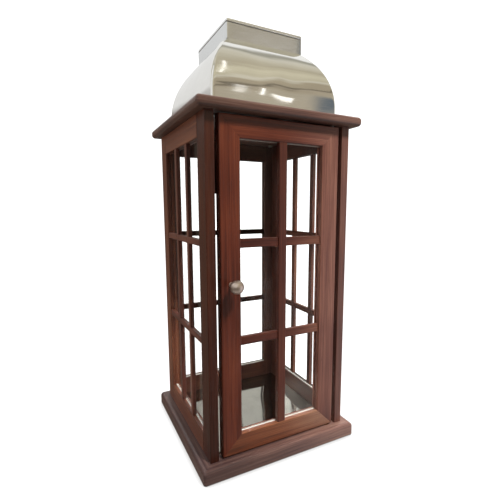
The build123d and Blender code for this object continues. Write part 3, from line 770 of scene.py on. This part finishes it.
class LANTERN_OT_glazing(Operator):
    """Glass in the four panels, bedded in putty"""

    bl_idname = "lantern.glazing"
    bl_label = "Glazing"

    def execute(self, context):
        glazing = context.scene.lantern_glazing
        dress(window_glass(glazing), *(f"{panel}_glass" for panel in PANELS))
        putty = glazing_putty(glazing)
        for panel in PANELS:
            self.bed(panel, putty, glazing.putty_width)
        return {"FINISHED"}

    def bed(self, panel, putty, width):
        """Fillets of putty in the corners between the glass and the rails: outside from one bar to the next,
        inside from stile to stile. Each is a quarter-round hollow carried straight along its rail."""
        low, high = (np.array(corner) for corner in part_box(f"{panel}_glass"))
        flat = int(np.argmin(high - low))
        along = 1 - flat
        outward = np.sign(low[flat])
        outside, inside = (low[flat], high[flat]) if outward < 0 else (high[flat], low[flat])
        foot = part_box(f"{panel}_bottom_rail")[1].z
        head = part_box(f"{panel}_top_rail")[0].z
        posts = [n for n in nodes if n.startswith(panel) and ("_stile" in n or "_upright" in n)]
        stops = sorted((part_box(post)[0][along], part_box(post)[1][along]) for post in posts)
        bays = [(start, end) for (_, start), (end, _) in zip(stops, stops[1:])]

        runs = [(outside, outward, foot, 1.0, bay) for bay in bays]
        runs.append((inside, -outward, foot, 1.0, (bays[0][0], bays[-1][1])))
        if panel == "door":
            runs += [(outside, outward, head, -HEAD_PUTTY, bay) for bay in bays]
        section = np.concatenate([[[0.0, 0.0], [width, 0.0]], arc((width, width), width, 270, 180, 6)])
        grids = np.zeros((len(runs), 2, len(section), 3))
        for grid, (face, away, edge, upward, ends) in zip(grids, runs):
            grid[..., flat] = face + away * abs(upward) * section[:, 0]
            grid[..., 2] = edge + upward * section[:, 1]
            grid[..., along] = np.array(ends)[:, None]
        body = "door" if panel == "door" else "case"
        new_piece(f"{panel}_putty", capped(grids), putty, body, close_rings=False)


class LANTERN_OT_fittings(Operator):
    """Knob, floor plate, screws, pivots and the magnetic catch"""

    bl_idname = "lantern.fittings"
    bl_label = "Fittings"

    def execute(self, context):
        steel = context.scene.lantern_steel
        dress(rolled_sheet((0.44, 0.42, 0.37)), "floor_plate")
        dress(metal_fitting("satin nickel", tuple(steel.nickel), 0.42), "knob")
        zinc = metal_fitting("zinc plate", (0.56, 0.56, 0.55), 0.33)
        screws = [name for name in nodes if name.endswith(("_screw", "_screws"))]
        dress(zinc, "strike_plate", "lower_pivot_pin", "upper_pivot_pin", *screws)
        dress(metal_fitting("turned brass", (0.20, 0.13, 0.06), 0.40), "pivot_washer")
        dress(moulded("catch plastic", (0.060, 0.022, 0.012), 0.45), "catch_housing")
        dress(moulded("ferrite", (0.020, 0.020, 0.021), 0.55), "catch_magnet")
        return {"FINISHED"}


class LANTERN_OT_studio(Operator):
    """Pale floor, soft light and the camera"""

    bl_idname = "lantern.studio"
    bl_label = "Studio"

    def execute(self, context):
        studio = context.scene.lantern_studio
        self.lay_floor(studio)
        self.light_room(context.scene, studio)
        self.hang_lamps(context.scene)
        self.place_camera(context.scene, studio)
        context.scene.view_settings.view_transform = "Standard"
        return {"FINISHED"}

    def lay_floor(self, studio):
        """Flat disc of rings about the origin."""
        turn = np.linspace(0.0, 2 * math.pi, FLOOR_SIDES, endpoint=False)
        radii = np.array([*FLOOR_RINGS, studio.floor_radius])
        ring = np.stack([np.cos(turn), np.sin(turn), np.zeros(FLOOR_SIDES)], axis=1)
        points = (radii[:, None, None] * ring[None]).reshape(-1, 3)
        index = np.arange(len(points)).reshape(len(radii), FLOOR_SIDES)
        after = np.roll(index, -1, axis=1)
        faces = np.stack([index[:-1], index[1:], after[1:], after[:-1]], axis=-1).reshape(-1, 4)
        mesh = bpy.data.meshes.new("studio_floor")
        mesh.from_pydata(points, [], faces)
        finish = Finish("pale floor")
        finish.set(Base_Color=(0.16, 0.155, 0.15, 1.0), Roughness=0.9, Specular_IOR_Level=0.1)
        shelter = finish.node("ShaderNodeAmbientOcclusion", samples=8)
        shelter.inputs["Distance"].default_value = studio.shadow_reach
        open_air = finish.span(shelter.outputs["AO"], 0.1, 0.95)
        paper = finish.node("ShaderNodeEmission")
        finish.feed(paper.inputs["Strength"], finish.paper())
        white = (1.0, 1.0, 1.0)
        finish.feed(paper.inputs["Color"], finish.ramp(open_air, [(0.0, studio.floor_shadow), (1.0, white)]))
        finish.feed(finish.surface, finish.blend(finish.seen_through(), finish.shader, paper).outputs[0])
        mesh.materials.append(finish.material)
        floor = bpy.data.objects.new("studio_floor", mesh)
        floor.visible_glossy = False
        bpy.context.scene.collection.objects.link(floor)

    def light_room(self, scene, studio):
        """White for what the camera sees by itself or through glass, and a room for what is mirrored and
        scattered."""
        world = bpy.data.worlds.new("Studio")
        scene.world = world
        world.use_nodes = True
        room = Graph(world.node_tree)
        room.tree.nodes.clear()
        walls = room.node("ShaderNodeBackground")
        room.feed(walls.inputs["Color"], self.mirrored_room(room, studio))
        scattered = room.node("ShaderNodeLightPath").outputs["Is Diffuse Ray"]
        room.feed(walls.inputs["Strength"], room.span(scattered, 0.0, 1.0, 1.0, SCATTERED_STRENGTH))
        white = room.node("ShaderNodeBackground")
        white.inputs["Color"].default_value = (1.0, 1.0, 1.0, 1.0)
        room.feed(white.inputs["Strength"], room.paper())
        output = room.node("ShaderNodeOutputWorld")
        room.feed(output.inputs["Surface"], room.blend(room.seen_through(), walls, white).outputs[0])

    def mirrored_room(self, room, studio):
        """Colours of a room by direction: dim near level, bright there to the right, paler straight below,
        with a banded ceiling and a dark doorway to the right."""
        way = room.node("ShaderNodeTexCoord").outputs["Generated"]
        height = room.towards(way, (0.0, 0.0, 1.0))
        front = room.towards(way, (0.0, -1.0, 0.0))
        side = room.towards(way, (1.0, 0.0, 0.0))
        turn = room.math("DIVIDE", room.math("ARCTAN2", height, front), math.pi)

        streaks = room.noise_at(way, (2.64, 2.64, 11.0), detail=4.0)
        wave = room.span(streaks, 0.3, 0.7, -BAND_WAVE, BAND_WAVE)
        slant = room.product(
            room.math("SUBTRACT", side, BAND_LEVEL_SIDE),
            BAND_SLANT,
            room.span(turn, *BAND_SLANT_END, 1.0, 0.0),
        )
        bands = room.math("ADD", room.math("ADD", turn, wave), slant)
        ceiling = room.ramp(bands, [(angle / 180, shade) for angle, shade in CEILING])

        right = room.product(
            room.span(room.towards(way, RIGHT_WAY), *RIGHT_EDGE), room.span(front, *RIGHT_FRONT_EDGE)
        )
        walls = room.mix(right, studio.room_low, studio.room_right)
        walls = room.mix(room.span(height, *STEEP_BELOW, 1.0, 0.0), walls, studio.room_floor)
        lifted = room.math("ADD", height, room.span(front, *BACK_WALL_EDGE, -BACK_WALL_RISE, 0.0))
        shade = room.mix(room.span(lifted, *CEILING_FOOT), walls, ceiling)
        doorway = room.product(
            room.span(side, *DOORWAY_SIDE),
            room.span(turn, *DOORWAY_HEAD, 1.0, 0.0),
            room.span(height, *DOORWAY_FOOT),
        )
        return room.mix(doorway, shade, studio.room_door)

    def hang_lamps(self, scene):
        """Soft lamps, each aimed at the lantern's middle, with its tall side square to x."""
        aim = Vector(LAMP_AIM)
        for name, place, size, power, mirrored in LAMPS:
            lamp = bpy.data.lights.new(name, "AREA")
            lamp.shape = "RECTANGLE"
            lamp.size, lamp.size_y = size
            lamp.energy = power
            piece = bpy.data.objects.new(name, lamp)
            piece.location = place
            facing = (Vector(place) - aim).normalized()
            tall = facing.cross((1.0, 0.0, 0.0)).normalized()
            piece.rotation_euler = Matrix((tall.cross(facing), tall, facing)).transposed().to_euler()
            piece.visible_camera = False
            piece.visible_glossy = mirrored
            scene.collection.objects.link(piece)

    def place_camera(self, scene, studio):
        """Camera from its place, turn, focal length and image centre."""
        yaw, pitch, roll = studio.camera_turn
        data = bpy.data.cameras.new("Camera")
        data.sensor_width = SENSOR_WIDTH
        data.lens = studio.focal_pixels / IMAGE_SIDE * SENSOR_WIDTH
        data.shift_x = 0.5 - studio.image_centre[0] / IMAGE_SIDE
        data.shift_y = studio.image_centre[1] / IMAGE_SIDE - 0.5
        data.clip_start = 0.02
        camera = bpy.data.objects.new("Camera", data)
        turn = Euler((math.pi / 2 + pitch, 0.0, -yaw)).to_matrix() @ Matrix.Rotation(roll, 3, "Z")
        camera.location = studio.camera_place
        camera.rotation_euler = turn.to_euler()
        scene.collection.objects.link(camera)
        scene.camera = camera


class LANTERN_PT_finish(Panel):
    """Lists the lantern's pieces and their settings"""

    bl_label = "Candle lantern"
    bl_idname = "LANTERN_PT_finish"
    bl_space_type = "VIEW_3D"
    bl_region_type = "UI"
    bl_category = "Lantern"

    def draw(self, context):
        for operator in OPERATORS:
            self.layout.operator(operator.bl_idname)
        for group in SETTINGS:
            box = self.layout.box()
            box.label(text=group.__doc__)
            settings = getattr(context.scene, setting_name(group))
            for key in group.__annotations__:
                box.prop(settings, key)


SETTINGS = (LanternWood, LanternSteel, LanternGlazing, LanternStudio)
OPERATORS = (
    LANTERN_OT_roof,
    LANTERN_OT_chimney,
    LANTERN_OT_woodwork,
    LANTERN_OT_glazing,
    LANTERN_OT_fittings,
    LANTERN_OT_studio,
)


def setting_name(group):
    """Name of a settings group on the scene, such as lantern_wood."""
    return "lantern_" + group.__name__.removeprefix("Lantern").lower()


def register():
    for each in (*SETTINGS, *OPERATORS, LANTERN_PT_finish):
        bpy.utils.register_class(each)
    for group in SETTINGS:
        setattr(bpy.types.Scene, setting_name(group), PointerProperty(type=group))


def unregister():
    for group in SETTINGS:
        delattr(bpy.types.Scene, setting_name(group))
    for each in reversed((*SETTINGS, *OPERATORS, LANTERN_PT_finish)):
        bpy.utils.unregister_class(each)


def main():
    register()
    bpy.ops.lantern.roof()
    bpy.ops.lantern.chimney()
    bpy.ops.lantern.woodwork()
    bpy.ops.lantern.glazing()
    bpy.ops.lantern.fittings()
    bpy.ops.lantern.studio()


if __name__ == "__main__":
    main()
